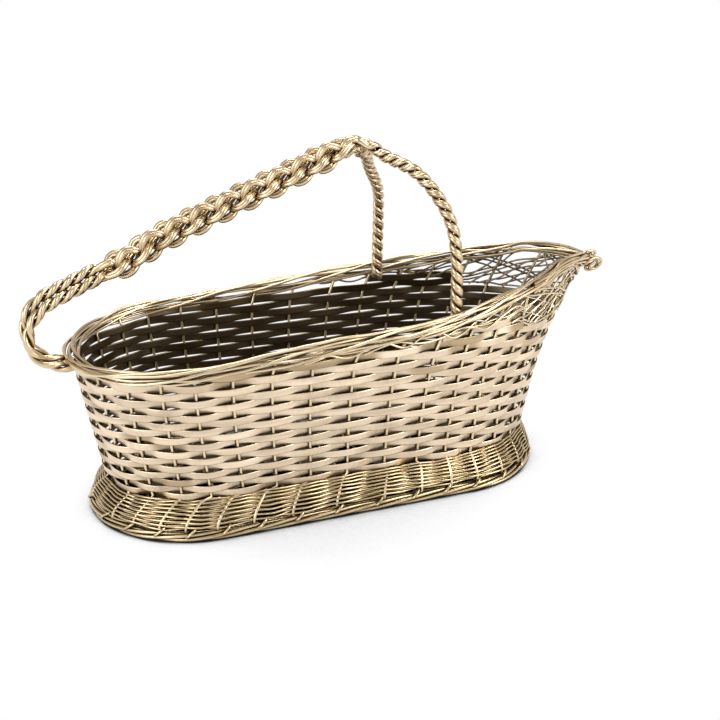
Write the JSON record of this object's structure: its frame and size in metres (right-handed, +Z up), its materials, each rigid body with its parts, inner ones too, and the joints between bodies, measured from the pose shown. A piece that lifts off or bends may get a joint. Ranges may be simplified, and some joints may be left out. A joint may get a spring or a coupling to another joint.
{
  "type": "wine bottle basket",
  "caption": "Boat-shaped basket woven from metal ribbon and wire, with a pouring spout, a flared foot and a linked rope handle, for holding a wine bottle on its side.",
  "frame": {"origin": "on the standing surface, under the middle of the basket's overall length and width", "axes": "+X along the basket towards the pouring spout, +Y to the basket's left side seen from its back end, +Z up"},
  "size_m": [0.293, 0.0986, 0.1652],
  "materials": {
    "ribbon_metal": "satin",
    "rim_metal": "aged satin",
    "stake_metal": "satin",
    "foot_metal": "aged satin",
    "handle_metal": "aged satin"
  },
  "bodies": {
    "root": {"ribbon_01": "ribbon_metal", "ribbon_02": "ribbon_metal", "ribbon_03": "ribbon_metal", "ribbon_04": "ribbon_metal", "ribbon_05": "ribbon_metal", "ribbon_06": "ribbon_metal", "ribbon_07": "ribbon_metal", "ribbon_08": "ribbon_metal", "ribbon_09": "ribbon_metal", "ribbon_10": "ribbon_metal", "ribbon_11": "ribbon_metal", "ribbon_12": "ribbon_metal", "ribbon_13": "ribbon_metal", "ribbon_14": "ribbon_metal", "ribbon_15": "ribbon_metal", "ribbon_16": "ribbon_metal", "upper_ribbon_far_1": "ribbon_metal", "upper_ribbon_far_2": "ribbon_metal", "upper_ribbon_near_1": "ribbon_metal", "upper_ribbon_near_2": "ribbon_metal", "stake_pair_01": "stake_metal", "stake_pair_02": "stake_metal", "stake_pair_03": "stake_metal", "stake_pair_04": "stake_metal", "stake_pair_05": "stake_metal", "stake_pair_06": "stake_metal", "stake_pair_07": "stake_metal", "stake_pair_08": "stake_metal", "stake_pair_09": "stake_metal", "stake_pair_10": "stake_metal", "stake_pair_11": "stake_metal", "stake_pair_12": "stake_metal", "stake_pair_13": "stake_metal", "stake_pair_14": "stake_metal", "stake_pair_15": "stake_metal", "stake_pair_16": "stake_metal", "rim_strand_a": "rim_metal", "rim_strand_b": "rim_metal", "rim_strand_c": "rim_metal", "spout_web_outer": "rim_metal", "spout_web_inner": "rim_metal", "spout_curl_upper": "rim_metal", "spout_curl_lower": "rim_metal", "foot_weaver_a": "foot_metal", "foot_weaver_b": "foot_metal", "foot_border_a": "foot_metal", "foot_border_b": "foot_metal", "foot_ground_ring": "foot_metal", "floor_wire": "foot_metal", "floor_slat_1": "ribbon_metal", "floor_slat_2": "ribbon_metal", "floor_slat_3": "ribbon_metal", "floor_slat_4": "ribbon_metal", "floor_slat_5": "ribbon_metal", "handle_far_strand_a": "handle_metal", "handle_far_strand_b": "handle_metal", "handle_near_strand_a": "handle_metal", "handle_near_strand_b": "handle_metal"}
  },
  "joints": []
}
